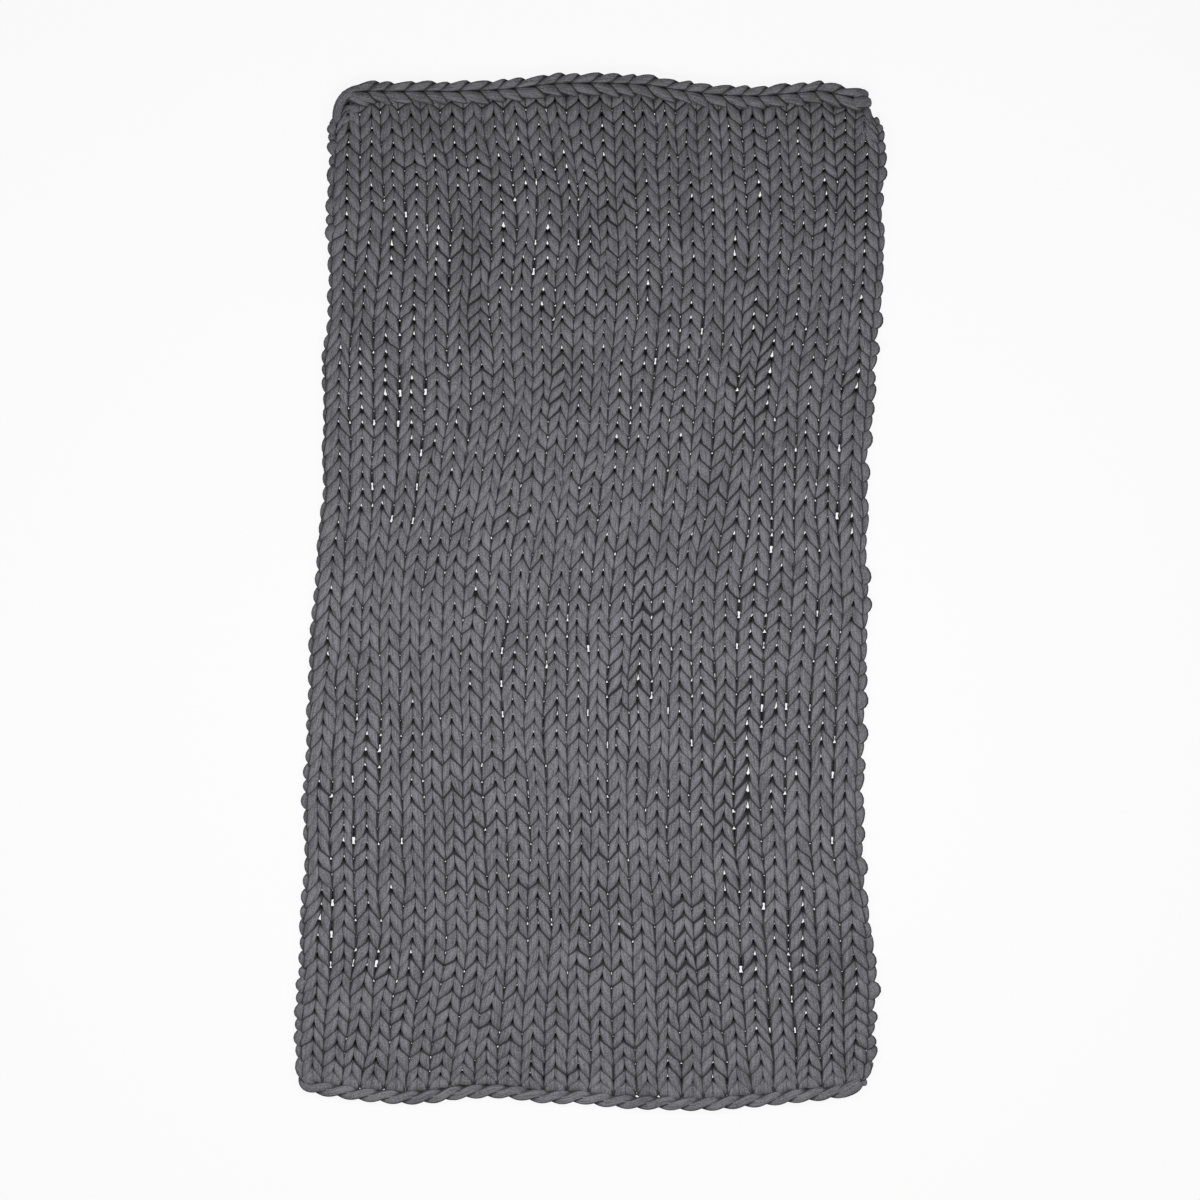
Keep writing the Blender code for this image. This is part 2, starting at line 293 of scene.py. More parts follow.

# Half of a stitch: u, v, height, half width, half depth, roll, slant, shade. It runs from the middle
# of the bar that ties it to the next wale, in at the V's tip, up the leg and over to the middle of
# its head. Roll is how far the yarn's outer side is raised; slant turns the section's outer side up
# the wale, in degrees, and is None where the section lies square across the yarn; shade is how much
# painted shade the yarn gets there, from 0 to 1, for being tucked away under its neighbours.
HALF_STITCH = (
    (0.50, -0.62, 5.5, 5.5, 5.5, 0.0, None, 1.0),
    (0.10, 0.05, 12.5, 10.0, 6.0, 0.0, 43.0, 0.6),
    (0.228, 0.42, 23.5, 15.0, 7.6, 1.0, 43.0, 0.0),
    (0.262, 0.90, 22.0, 15.2, 8.2, 1.5, 43.0, 0.15),
    (0.33, 1.35, 14.0, 12.6, 7.0, 1.0, 42.0, 0.9),
    (0.00, 1.47, 5.5, 8.0, 5.5, 0.0, None, 1.0),
)
# The cast-on loops stand on the rope with blunt ends; the last course dips under the chain.
HALF_CAST_ON_LOOP = (
    (0.50, 0.66, 7.0, 9.0, 5.5, 0.0, None, 1.0),
    (0.245, 0.62, 11.0, 12.0, 6.0, 0.0, 4.0, 0.6),
    (0.265, 0.90, 19.5, 10.6, 7.4, 1.0, 10.0, 0.0),
    (0.32, 1.22, 18.0, 12.0, 7.4, 1.0, 36.0, 0.1),
    (0.38, 1.52, 12.0, 10.0, 6.5, 0.5, 44.0, 0.8),
    (0.00, 1.60, 5.5, 7.0, 5.5, 0.0, None, 1.0),
)
HALF_LAST_STITCH = (
    (0.50, -0.50, 5.5, 5.5, 5.5, 0.0, None, 1.0),
    (0.13, 0.12, 12.0, 9.5, 6.0, 0.0, 42.0, 0.6),
    (0.225, 0.42, 20.0, 14.4, 7.0, 1.0, 42.0, 0.0),
    (0.26, 0.85, 14.0, 12.6, 6.5, 1.0, 33.0, 0.3),
    (0.28, 1.25, 8.0, 10.5, 6.0, 0.0, 20.0, 1.0),
    (0.00, 1.45, 5.5, 7.0, 5.5, 0.0, None, 1.0),
)
# A link of the chain, as a stitch that lies on its side.
HALF_LINK = (
    (0.20, -0.30, 7.0, 6.0, 6.0, 0.0, None, 1.0),
    (0.14, 0.10, 13.0, 8.0, 6.0, 0.0, 42.0, 0.6),
    (0.205, 0.40, 23.0, 14.0, 7.5, 1.0, 44.0, 0.0),
    (0.27, 0.90, 22.5, 14.5, 8.0, 1.5, 36.0, 0.1),
    (0.35, 1.36, 15.0, 11.6, 7.0, 1.0, 32.0, 0.8),
    (0.00, 1.70, 7.0, 6.5, 6.0, 0.0, None, 1.0),
)


def mirrored(path):
    """The path on the other side of the wale's middle line."""
    return [(Vector((-place.x, place.y, place.z)), *yarn) for place, *yarn in path]


def loop_path(half, width, height, whole=True):
    """The yarn's path round a loop: its left half, then its right half mirrored from it."""
    right = [(Vector((u * width, v * height, z)), *yarn) for u, v, z, *yarn in half]
    return (mirrored(right)[:-1] if whole else []) + right[::-1]


def grown_ring(bm, ring):
    """Extrude a ring of points once and return the new ring in the same order."""
    edges = [bm.edges.get(pair) for pair in zip(ring, ring[1:] + ring[:1])]
    new = set(bmesh.ops.extrude_edge_only(bm, edges=edges)["geom"])
    return [next(edge.other_vert(vert) for edge in vert.link_edges if edge.other_vert(vert) in new)
            for vert in ring]


def sweep(bm, path, level_ends=False, closed_start=False, closed_end=False):
    """Sweep the yarn's section along a path: place, half width, half depth, roll, slant, shade."""
    core = bm.verts.layers.float_vector["core"]
    offset = bm.verts.layers.float_vector["offset"]
    strand = bm.verts.layers.float_vector["strand"]
    tuck_shade = bm.verts.layers.float["tuck_shade"]
    crease = bm.edges.layers.float["crease_edge"]
    ring = bmesh.ops.create_circle(bm, segments=SIDES, radius=1.0)["verts"]
    run_so_far = 0.0
    for k, (place, across, deep, roll, slant, shade) in enumerate(path):
        if k:
            last, ring = ring, grown_ring(bm, ring)
            for shoulder in SHOULDERS:
                bm.edges.get((last[shoulder], ring[shoulder]))[crease] = SHOULDER_CREASE
            run_so_far += (place - path[k - 1][0]).length
        ahead, behind = path[min(k + 1, len(path) - 1)][0], path[max(k - 1, 0)][0]
        run = (ahead - behind).normalized()
        if level_ends and k in (0, len(path) - 1):
            run = Vector((1.0, 0.0, 0.0))
        side = Vector((0.0, 0.0, 1.0)).cross(run).normalized()
        up = run.cross(side)
        if slant is not None:
            turn = math.radians(slant)
            side = Vector((math.copysign(math.cos(turn), place.x), math.sin(turn), 0.0))
        for vert, (a, b) in zip(ring, SECTION):
            vert[core] = place
            vert[offset] = side * (a * across) + up * (b * deep) + Vector((0.0, 0.0, a * roll))
            vert[strand] = (a, b, run_so_far)
            # painted shade for the material, less on a leg's outer side
            vert[tuck_shade] = shade * (1.0 - (OUTER_EASE * max(a, 0.0) if slant else 0.0))
            vert.co = vert[core] + vert[offset]
        if (closed_start and k == 0) or (closed_end and k == len(path) - 1):
            bmesh.ops.contextual_create(bm, geom=ring)


def free_path(stations, width=1.0, height=1.0):
    """The path of a free turn of yarn: x, y, height, half width and half depth at each station."""
    crown = max(z for _, _, z, _, _ in stations)
    # Painted shade, the more the lower the yarn lies below its path's crown.
    return [(Vector((x * width, y * height, z)), across, deep, 0.0, None,
             min((crown - z) / TUCK_DEPTH, 1.0)) for x, y, z, across, deep in stations]


def new_yarn():
    """An empty bmesh with the layers that yarn carries."""
    bm = bmesh.new()
    for name in ("core", "offset", "strand"):
        bm.verts.layers.float_vector.new(name)
    bm.verts.layers.float.new("tuck_shade")
    bm.edges.layers.float.new("crease_edge")
    return bm


def sort_parts(bm):
    """Sort edges and faces by their points, because extruding leaves them in no fixed order."""
    bm.verts.index_update()
    many = len(bm.verts)

    def rank(part):
        corners = [vert.index for vert in part.verts]
        return min(corners) * many + max(corners)

    bm.edges.sort(key=rank)
    bm.faces.sort(key=rank)


def mesh_of(name, bm):
    """Finish a bmesh as a named mesh object, its faces outward and in a fixed order."""
    sort_parts(bm)
    bmesh.ops.recalc_face_normals(bm, faces=bm.faces)
    mesh = bpy.data.meshes.new(name)
    bm.to_mesh(mesh)
    bm.free()
    piece = bpy.data.objects.new(name, mesh)
    bpy.context.scene.collection.objects.link(piece)
    return piece


def loop_piece(name, half, width, height, closed=False):
    """One loop of yarn at the nominal gauge."""
    bm = new_yarn()
    sweep(bm, loop_path(half, width, height), level_ends=True, closed_start=closed, closed_end=closed)
    return mesh_of(name, bm)


def half_loop_piece(name, half, width, height, right):
    """The right half of a loop, or its left half, with its head's end closed."""
    path = loop_path(half, width, height, whole=False)
    if not right:
        path = mirrored(path)[::-1]
    bm = new_yarn()
    sweep(bm, path, level_ends=True, closed_start=right, closed_end=not right)
    return mesh_of(name, bm)


def vectors_of(mesh, name):
    """A point attribute as an array."""
    found = np.empty(len(mesh.vertices) * 3, np.float32)
    mesh.attributes[name].data.foreach_get("vector", found)
    return found.reshape(-1, 3).astype(float)


def points_of(mesh):
    """The points of a mesh as an array."""
    found = np.empty(len(mesh.vertices) * 3, np.float32)
    mesh.vertices.foreach_get("co", found)
    return found.reshape(-1, 3).astype(float)


def put_points(mesh, points):
    """Move the points of a mesh to new places."""
    mesh.vertices.foreach_set("co", points.astype(np.float32).ravel())


def repeat(piece, offset, count, joined, caps=(None, None)):
    """Add an array to a piece, its copies joined end to end or lying free."""
    array = piece.modifiers.new("repeat", "ARRAY")
    array.use_relative_offset = False
    array.use_constant_offset = True
    array.constant_offset_displace = offset
    array.count = count
    array.use_merge_vertices = joined
    array.merge_threshold = 0.01
    array.start_cap, array.end_cap = caps


def settle(piece):
    """Turn a piece's arrays into plain mesh."""
    shown = bpy.context.evaluated_depsgraph_get()
    whole = bpy.data.meshes.new_from_object(piece.evaluated_get(shown))
    piece.modifiers.clear()
    piece.data = whole


# ---------------------------------------------------------------- laying the stitches

# Each stitch's own small differences, drawn once. UNEVEN has a column for each kind: the right leg's
# comes next after the left leg's, and columns 0 and 1 are spare.
LEVEL_ODD, LEFT_LEG_ODD, FOOT_ODD, KINDS = 2, 3, 5, 6
stitch_rng = np.random.default_rng(2024)
UNEVEN = stitch_rng.normal(0.0, 1.0, (WALES + 2, COURSES + 2, KINDS)).clip(-2.0, 2.0)
LEVEL_SIZE, LEG_SIZE, FOOT_SIZE = 0.8, 0.05, 0.05      # in mm, in parts of the width, in courses
TIP_SLACK = stitch_rng.normal(0.0, 1.0, (WALES + 2, COURSES + 2))
RIB_SLACK = stitch_rng.normal(0.0, 1.0, (WALES + 2, COURSES + 2))

# Gaps open at the V tips and between the wales, this far up a course, as the yarn is pushed aside.
TIP_GAP_AT, RIB_GAP_AT = 0.08, 0.90
TIP_EASE, RIB_EASE = 1.4, 1.5              # the yarn moves aside by this many times the size
REACH, TALL_REACH = 9.0, 5.0               # how far the push reaches sideways and upward
PINCH, PINCH_AT = 0.35, 13.0               # part of it is taken back this far above the gap
# Sizes of the gaps: everywhere, more in the loose places, at the stray gaps; their spread, and the
# most and the least there is. A size below 0 presses the yarn together.
SMALL_GAP, LOOSE_GAP, STRAY_GAP = -0.3, 2.3, 5.2
GAP_SPREAD, GAP_LIMIT, TIGHTEST = 1.2, 3.7, -0.6
TIGHT_TOP, TIGHT_OVER = 57.0, 5.0          # the course from which they close, and over how many

# The foot of a leg reaches up to LOW_END and fades out at twice that, in courses. On a ridge the
# feet are drawn up into arches; in a valley the V tips part. Both are in mm for each mm of rise.
LOW_END, ARCH, VALLEY_PART = 0.6, 0.8, 0.08
PULLED_TIGHT = 7.0       # a gather that rises or sinks this far leaves no gaps between its legs
# The painted shade of tucked-away yarn deepens for each mm that a gather rises or sinks, and for each
# mm that it slopes between FLANK of a wale to the left and to the right.
GATHER_SHADE, FLANK, FLANK_SHADE = 0.08, 0.2, 0.06
# The left edge's legs are wider and stand further out between the corners' fat knots.
FAT_KNOTS_BELOW, FAT_KNOTS_FROM = 8, 54
EDGE_OUT, EDGE_WIDEN = 0.08, 1.18


def looseness(u, v):
    """How loosely the blanket is knitted at (u, v), from 0 to 1."""
    loose = np.zeros(np.shape(u))
    for first_wale, last_wale, first_course, last_course, _ in LOOSE_PLACES:
        across = swell(u, first_wale - FADE_WALES, last_wale + FADE_WALES)
        along = swell(v, first_course - FADE_COURSES, last_course + FADE_COURSES)
        loose = np.maximum(loose, across * along)
    return np.sqrt(loose)


def stray_gaps():
    """The (u, v) of the gaps that have slipped open in the loose places."""
    chance = random.Random(GAP_SEED)
    gaps = set()
    for first_wale, last_wale, first_course, last_course, count in LOOSE_PLACES:
        spots = [(step / 2.0, course)
                 for course in range(first_course, last_course + 1) if course % COURSE_STEP == 0
                 for step in range(math.ceil(2 * first_wale), math.floor(2 * last_wale) + 1)]
        gaps.update(chance.sample(spots, count))
    return sorted(gaps)


def openings():
    """How far the yarn draws apart at each V tip and at each place between two wales, in mm."""
    wale, course = np.meshgrid(np.arange(WALES + 2), np.arange(COURSES + 2), indexing="ij")
    tips = SMALL_GAP + LOOSE_GAP * looseness(wale, course) + GAP_SPREAD * TIP_SLACK
    ribs = SMALL_GAP + LOOSE_GAP * looseness(wale + 0.5, course) + GAP_SPREAD * RIB_SLACK
    tight = np.clip((course - TIGHT_TOP) / TIGHT_OVER, 0.0, 1.0)
    limit = GAP_LIMIT - (GAP_LIMIT - TIGHTEST) * tight
    tips, ribs = (table.clip(TIGHTEST, limit) for table in (tips, ribs))
    for u, v in stray_gaps():
        opened = tips if u == int(u) else ribs
        opened[int(u), v] = STRAY_GAP
    return tips, ribs


TIP_OPEN, RIB_OPEN = openings()


def drawn_apart(u, at_u, at_v):
    """How far the yarn at u is drawn aside by the openings at its point (at_u, at_v), in mm."""
    push = np.zeros(len(u))
    tip_wale = np.rint(u).astype(int).clip(0, WALES + 1)
    rib_wale = np.floor(u).astype(int).clip(0, WALES + 1)
    for table, wale, middle, height, ease in (
            (TIP_OPEN, tip_wale, tip_wale, TIP_GAP_AT, TIP_EASE),
            (RIB_OPEN, rib_wale, rib_wale + 0.5, RIB_GAP_AT, RIB_EASE)):
        course = np.rint(at_v - height).astype(int).clip(0, COURSES + 1)
        aside, above = (at_u - middle) * WALE, (at_v - height - course) * COURSE
        near = np.exp(-(above / TALL_REACH) ** 2)
        near -= PINCH * np.exp(-((above - PINCH_AT) / TALL_REACH) ** 2)
        near *= np.exp(-(aside / REACH) ** 2)
        push += ease * table[wale, course] * np.sign(u - middle) * near
    return push


def shape_stitches(core, u, v, z, offset, along):
    """Give each stitch its own small differences, open the gaps, and draw up or part the gathers."""
    wale = np.rint(u - core[:, 0] / WALE).astype(int).clip(0, WALES + 1)
    course = np.rint(v - core[:, 1] / COURSE).astype(int).clip(0, COURSES + 1)
    odd = UNEVEN[wale, course]
    leg_odd = odd[np.arange(len(u)), LEFT_LEG_ODD + (core[:, 0] > 0).astype(int)]
    free = np.sin(math.pi * (along / STITCH_LENGTH).clip(0.0, 1.0))
    rise, _ = gather(u, v)
    push = drawn_apart(u, u + offset[:, 0] / WALE, v + offset[:, 1] / COURSE)
    push = push * (1.0 - np.abs(rise) / PULLED_TIGHT).clip(0.0, 1.0)
    foot = (1.0 - (core[:, 1] / COURSE - LOW_END) / LOW_END).clip(0.0, 1.0) * (core[:, 1] > 0.0)
    v = v + foot * FOOT_SIZE * odd[:, FOOT_ODD]
    by_rib = np.sin(math.pi * (u + offset[:, 0] / WALE)) ** 2
    push = push + np.sign(core[:, 0]) * foot * VALLEY_PART * (-rise).clip(0.0, None)
    z = z + free * LEVEL_SIZE * odd[:, LEVEL_ODD]
    at_edge = (wale == 0) & (course >= FAT_KNOTS_BELOW) & (course < FAT_KNOTS_FROM)
    u = u - EDGE_OUT * at_edge * free
    widened = (1.0 + LEG_SIZE * leg_odd * free) * np.where(at_edge, EDGE_WIDEN, 1.0)
    offset = offset * widened[:, None]
    offset[:, 0] += push
    offset[:, 1] += ARCH * foot * by_rib * rise.clip(0.0, None)
    return u, v, z, offset


def path_length(path):
    """How long the yarn is along a path."""
    return sum((ahead[0] - behind[0]).length for behind, ahead in zip(path, path[1:]))


STITCH_LENGTH = path_length(loop_path(HALF_STITCH, WALE, COURSE))


def gauge(place, u, v, width, height):
    """The place of (u, v), the directions across and along the knitting there, and its gauge."""
    small = 0.25      # of a wale and of a course
    here = place(u, v)
    across = (place(u + small, v) - place(u - small, v))[:, :2] / (2 * small)
    along = (place(u, v + small) - place(u, v - small))[:, :2] / (2 * small)
    wide, high = np.linalg.norm(across, axis=1), np.linalg.norm(along, axis=1)
    return here, across / wide[:, None], along / high[:, None], wide / width, high / height


FULL_RISE_FROM = 22.0      # the lower the yarn lies, the less of its ground's rise it takes
LEAST_WIDE, MOST_WIDE, LEAST_HIGH, MOST_HIGH = 0.8, 1.2, 0.85, 1.15      # of the nominal yarn
# Each copy of a loop starts this many lengths of yarn further on, for each wale and each course.
ON_BY_WALE, ON_BY_COURSE = 3.7, 1.9


def lay(piece, place, width, height, shape=None):
    """Move every ring of yarn from the nominal gauge to its place, and deepen the painted shade at the
    gathers.
    """
    mesh = piece.data
    core, offset, strand = (vectors_of(mesh, name) for name in ("core", "offset", "strand"))
    moved = points_of(mesh) - core - offset
    u = (core[:, 0] + moved[:, 0]) / width
    v = (core[:, 1] + moved[:, 1]) / height
    z = core[:, 2]
    if shape:
        u, v, z, offset = shape(core, u, v, z, offset, strand[:, 2])
    here, across, along, wide, high = gauge(place, u, v, width, height)
    flat = here[:, :2] + across * offset[:, :1] * wide[:, None].clip(LEAST_WIDE, MOST_WIDE)
    flat = flat + along * offset[:, 1:2] * high[:, None].clip(LEAST_HIGH, MOST_HIGH)
    level = z + offset[:, 2]
    level = level + here[:, 2] * (level / FULL_RISE_FROM).clip(0.0, 1.0)
    put_points(mesh, np.concatenate([flat, level.clip(0.0, None)[:, None]], axis=1) * MM)
    copy = np.rint(moved[:, 0] / width) * ON_BY_WALE + np.rint(moved[:, 1] / height) * ON_BY_COURSE
    strand[:, 2] += copy * STITCH_LENGTH
    mesh.attributes["strand"].data.foreach_set("vector", strand.astype(np.float32).ravel())
    tuck_shade = np.empty(len(mesh.vertices), np.float32)
    mesh.attributes["tuck_shade"].data.foreach_get("value", tuck_shade)
    # Painted shade: deeper near the ribs of a gather and on its flanks.
    by_rib = np.sin(math.pi * (u + offset[:, 0] / width)) ** 2
    slope = np.abs(place(u + FLANK, v)[:, 2] - place(u - FLANK, v)[:, 2])
    tuck_shade *= 1.0 + GATHER_SHADE * np.abs(here[:, 2]) * by_rib + FLANK_SHADE * slope
    mesh.attributes["tuck_shade"].data.foreach_set("value", tuck_shade.astype(np.float32))
    mesh.update()


# ---------------------------------------------------------------- materials

class Socket:
    """A node's output, so that shader maths reads as Python expressions."""

    def __init__(self, tree, link):
        self.tree = tree
        self.link = link

    def math(self, operation, first, second=0.0):
        return add_node(self.tree, "ShaderNodeMath", {"operation": operation}, {0: first, 1: second})

    def __add__(self, other):
        return self.math("ADD", self, other)

    def __radd__(self, other):
        return self.math("ADD", other, self)

    def __sub__(self, other):
        return self.math("SUBTRACT", self, other)

    def __rsub__(self, other):
        return self.math("SUBTRACT", other, self)

    def __mul__(self, other):
        return self.math("MULTIPLY", self, other)

    def __rmul__(self, other):
        return self.math("MULTIPLY", other, self)

    def __abs__(self):
        return self.math("ABSOLUTE", self)


def add_node(tree, kind, settings=None, sockets=None, output=0):
    """Add a node: its settings first, then the values or links of its sockets."""
    node = tree.nodes.new(kind)
    for name, value in (settings or {}).items():
        setattr(node, name, value)
    for name, value in (sockets or {}).items():
        if isinstance(value, Socket):
            tree.links.new(value.link, node.inputs[name])
        else:
            node.inputs[name].default_value = value
    return Socket(tree, node.outputs[output])


# Colours of the yarn's pile, dark and light, and the painted shade colour for yarn in deep shade.
YARN_DARK = (0.106, 0.1035, 0.115, 1.0)
YARN_LIGHT = (0.252, 0.2465, 0.271, 1.0)
YARN_SHADE = (0.014, 0.014, 0.016, 1.0)
# Scales of the noise: the yarn's lines are fine across it and long along it.
LINES_SCALE, NAP_SCALE, DYE_SCALE = (4.2, 4.2, 0.03), 420.0, 22.0
LINES_TONE, NAP_TONE = 2.6, 3.4            # how far the yarn's lines and its nap vary the colour
LINES_RELIEF, NAP_RELIEF = 0.7, 0.3        # and their shares in the fine relief
# Painted shade darkens the yarn on its pressed sides (measured in half widths from the middle of its
# crown), low in the knitting (by its height in metres) and where it is tucked away: how deep, from, to.
PRESSED_MIDDLE = 0.06
PRESSED_SHADE, PRESSED_FROM, PRESSED_TO = 0.85, 0.71, 0.94
SUNK_SHADE, SUNK_FROM, SUNK_TO = 0.85, 0.020, 0.006
TUCKED_SHADE, TUCKED_FROM, TUCKED_TO = 0.9, 0.29, 0.50


def yarn_material():
    """Matte charcoal tube yarn: fine lines along the yarn, soft nap, slightly mottled dye,
    and painted shade on its sides, low down and where it is tucked away.
    """
    material = bpy.data.materials.new("charcoal_yarn")
    material.use_nodes = True
    tree = material.node_tree
    surface = tree.nodes["Principled BSDF"]
    surface.inputs["Roughness"].default_value = 0.92
    surface.inputs["Sheen Weight"].default_value = 0.12
    surface.inputs["Sheen Roughness"].default_value = 0.6
    surface.inputs["Specular IOR Level"].default_value = 0.2
    strand = add_node(tree, "ShaderNodeAttribute", {"attribute_name": "strand"}, output=1)
    place = add_node(tree, "ShaderNodeTexCoord", output=3)
    lines_at = add_node(tree, "ShaderNodeMapping", None, {"Vector": strand, "Scale": LINES_SCALE})
    lines = add_node(tree, "ShaderNodeTexNoise", None,
                     {"Vector": lines_at, "Scale": 1.0, "Detail": 3.0, "Roughness": 0.6})
    nap = add_node(tree, "ShaderNodeTexNoise", None,
                   {"Vector": place, "Scale": NAP_SCALE, "Detail": 3.0, "Roughness": 0.65})
    dye = add_node(tree, "ShaderNodeTexNoise", None,
                   {"Vector": place, "Scale": DYE_SCALE, "Detail": 2.0, "Roughness": 0.5})
    tone = (lines - 0.5) * LINES_TONE + (nap - 0.5) * NAP_TONE + dye
    pile = add_node(tree, "ShaderNodeMix", {"data_type": "RGBA"},
                    {"Factor": tone, "A": YARN_DARK, "B": YARN_LIGHT}, output=2)
    aside = add_node(tree, "ShaderNodeSeparateXYZ", None, {"Vector": strand})
    # Painted shade on the yarn's sides, where it meets its neighbours.
    side_shade = add_node(tree, "ShaderNodeMapRange", {"interpolation_type": "SMOOTHSTEP"},
                       {"Value": abs(aside - PRESSED_MIDDLE),
                        "From Min": PRESSED_FROM, "From Max": PRESSED_TO})
    height = add_node(tree, "ShaderNodeSeparateXYZ", None, {"Vector": place}, output=2)
    # Painted shade on yarn that lies low in the knitting.
    depth_shade = add_node(tree, "ShaderNodeMapRange", {"interpolation_type": "SMOOTHSTEP"},
                    {"Value": height, "From Min": SUNK_FROM, "From Max": SUNK_TO,
                     "To Max": SUNK_SHADE})
    # Painted shade where the yarn is tucked away under its neighbours.
    tuck_shade = add_node(tree, "ShaderNodeAttribute", {"attribute_name": "tuck_shade"}, output=2)
    under_shade = add_node(tree, "ShaderNodeMapRange", {"interpolation_type": "SMOOTHSTEP"},
                      {"Value": tuck_shade, "From Min": TUCKED_FROM, "From Max": TUCKED_TO})
    # The three painted shades mix the pile's colour towards the painted shade colour.
    lit = (1.0 - side_shade * PRESSED_SHADE) * (1.0 - depth_shade) * (1.0 - under_shade * TUCKED_SHADE)
    colour = add_node(tree, "ShaderNodeMix", {"data_type": "RGBA"},
                      {"Factor": 1.0 - lit, "A": pile, "B": YARN_SHADE}, output=2)
    tree.links.new(colour.link, surface.inputs["Base Color"])
    relief = lines * LINES_RELIEF + nap * NAP_RELIEF
    bump = add_node(tree, "ShaderNodeBump", None,
                    {"Strength": 0.6, "Distance": 0.0015, "Height": relief})
    tree.links.new(bump.link, surface.inputs["Normal"])
    return material


# ---------------------------------------------------------------- pieces

def finish_yarn(piece, material):
    """Smooth a piece of yarn, dress it and tie it to the frame."""
    piece.data.materials.clear()
    piece.data.materials.append(material)
    for polygon in piece.data.polygons:
        polygon.use_smooth = True
    smooth = piece.modifiers.new("smooth", "SUBSURF")
    smooth.levels = smooth.render_levels = 1
    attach(piece, "root")
    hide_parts(NODE)


# The ground's bands: name, half of its stitch, first course and number of courses.
BANDS = (
    ("cast_on_loops", HALF_CAST_ON_LOOP, -1, 1),
    ("courses_01_to_16", HALF_STITCH, 0, 16),
    ("courses_17_to_32", HALF_STITCH, 16, 16),
    ("courses_33_to_48", HALF_STITCH, 32, 16),
    ("courses_49_to_63", HALF_STITCH, 48, 15),
    ("last_course", HALF_LAST_STITCH, 63, 1),
)


def knitted_band(material, name, half, first, courses):
    """A band of courses of the ground: a whole stitch to a wale, and half a stitch at each side."""
    band = loop_piece(name, half, WALE, COURSE)
    left = half_loop_piece("left_half", half, WALE, COURSE, right=True)
    right = half_loop_piece("right_half", half, WALE, COURSE, right=False)
    repeat(band, (WALE, 0.0, 0.0), WALES, True, (left, right))
    repeat(band, (0.0, COURSE, 0.0), courses, False)
    settle(band)
    for spare in (left, right):
        bpy.data.objects.remove(spare, do_unlink=True)
    put_points(band.data, points_of(band.data) + (WALE, first * COURSE, 0.0))
    lay(band, knit_place, WALE, COURSE, shape_stitches)
    finish_yarn(band, material)


# The selvedges' yarn: on every second course a knot, and above it the bar that leads to the next.
# Each is a list of u, v, height, half width, half depth.
RIGHT_KNOT = (
    (24.90, 0.00, 8.0, 7.0, 6.0),
    (25.08, 0.04, 17.0, 8.5, 7.0),
    (25.22, 0.32, 19.0, 9.5, 7.5),
    (25.17, 0.74, 18.0, 8.5, 7.5),
    (24.95, 0.94, 8.0, 7.0, 6.0),
)
RIGHT_BAR = (
    (24.96, 0.86, 6.0, 6.5, 5.5),
    (25.04, 1.10, 13.0, 8.0, 6.0),
    (25.12, 1.50, 16.0, 8.5, 6.5),
    (25.17, 1.88, 13.0, 7.5, 6.0),
    (25.05, 2.10, 6.0, 6.5, 5.5),
)
LEFT_KNOT = (
    (0.10, -0.10, 7.0, 6.5, 5.5),
    (-0.07, 0.10, 13.0, 8.0, 6.0),
    (-0.15, 0.46, 15.0, 8.5, 6.5),
    (-0.09, 0.80, 13.0, 8.0, 6.0),
    (0.10, 1.00, 7.0, 6.5, 5.5),
)
LEFT_BAR = (
    (0.12, 0.96, 6.0, 6.0, 5.5),
    (-0.04, 1.12, 13.0, 8.0, 6.0),
    (-0.13, 1.46, 15.0, 8.5, 6.5),
    (-0.06, 1.76, 13.0, 8.0, 6.0),
    (0.12, 1.94, 6.0, 6.0, 5.5),
)
# Near the corners the left knots are fat and lie in front of the stitches.
FAT_LEFT_KNOT = (
    (0.16, -0.14, 8.0, 7.0, 6.0),
    (-0.02, 0.06, 18.0, 9.5, 7.0),
    (-0.11, 0.48, 22.0, 12.0, 7.5),
    (-0.02, 0.90, 18.0, 9.5, 7.0),
    (0.16, 1.10, 8.0, 7.0, 6.0),
)

# The knots swing in and out by this part of a wale, and are the fatter the further right they are.
KNOT_SWING, SWING_BY_COURSE, SWING_BY_START, SWING_FATTENS = 0.05, 2.4, 0.9, 3.0


def selvedge(name, material, parts, corner_parts):
    """The yarn that turns back at one side of the blanket, every second course."""
    bm = new_yarn()
    for course in range(0, COURSES, 2):
        at_corner = course < FAT_KNOTS_BELOW or course >= FAT_KNOTS_FROM
        for part in corner_parts if at_corner else parts:
            start = part[0][1]
            swing = KNOT_SWING * math.sin(SWING_BY_COURSE * course + SWING_BY_START * start)
            fatter = 1.0 + SWING_FATTENS * swing
            raised = [(u + swing, v + course, z, across * fatter, deep)
                      for u, v, z, across, deep in part]
            sweep(bm, free_path(raised, WALE, COURSE), closed_start=True, closed_end=True)
    knots = mesh_of(name, bm)
    lay(knots, knit_place, WALE, COURSE)
    finish_yarn(knots, material)


def bind_off_chain(material):
    """The bind-off chain: one column of loops lying on its side along the top edge."""
    link = loop_piece("bind_off_chain", HALF_LINK, CHAIN_WIDTH, CHAIN_STEP, closed=True)
    repeat(link, (0.0, CHAIN_STEP, 0.0), CHAIN_LINKS, False)
    settle(link)
    lay(link, chain_place, CHAIN_WIDTH, CHAIN_STEP)
    finish_yarn(link, material)


ROPE_TURNS, TURN_STEPS = 13, 10
ROPE_STRAND, ROPE_RADIUS, ROPE_HEIGHT = 8.2, 5.4, 14.0      # strand's half width, winding, middle
# How much thinner the rope's ends are, over how many steps; how much painted shade its sides and
# underside get.
ROPE_TAPER, TAPER_STEPS, ROPE_SHADE = 0.4, 3.0, 0.25


def put_in_metres(piece):
    """Turn a piece that was made in millimetres into metres."""
    put_points(piece.data, points_of(piece.data) * MM)


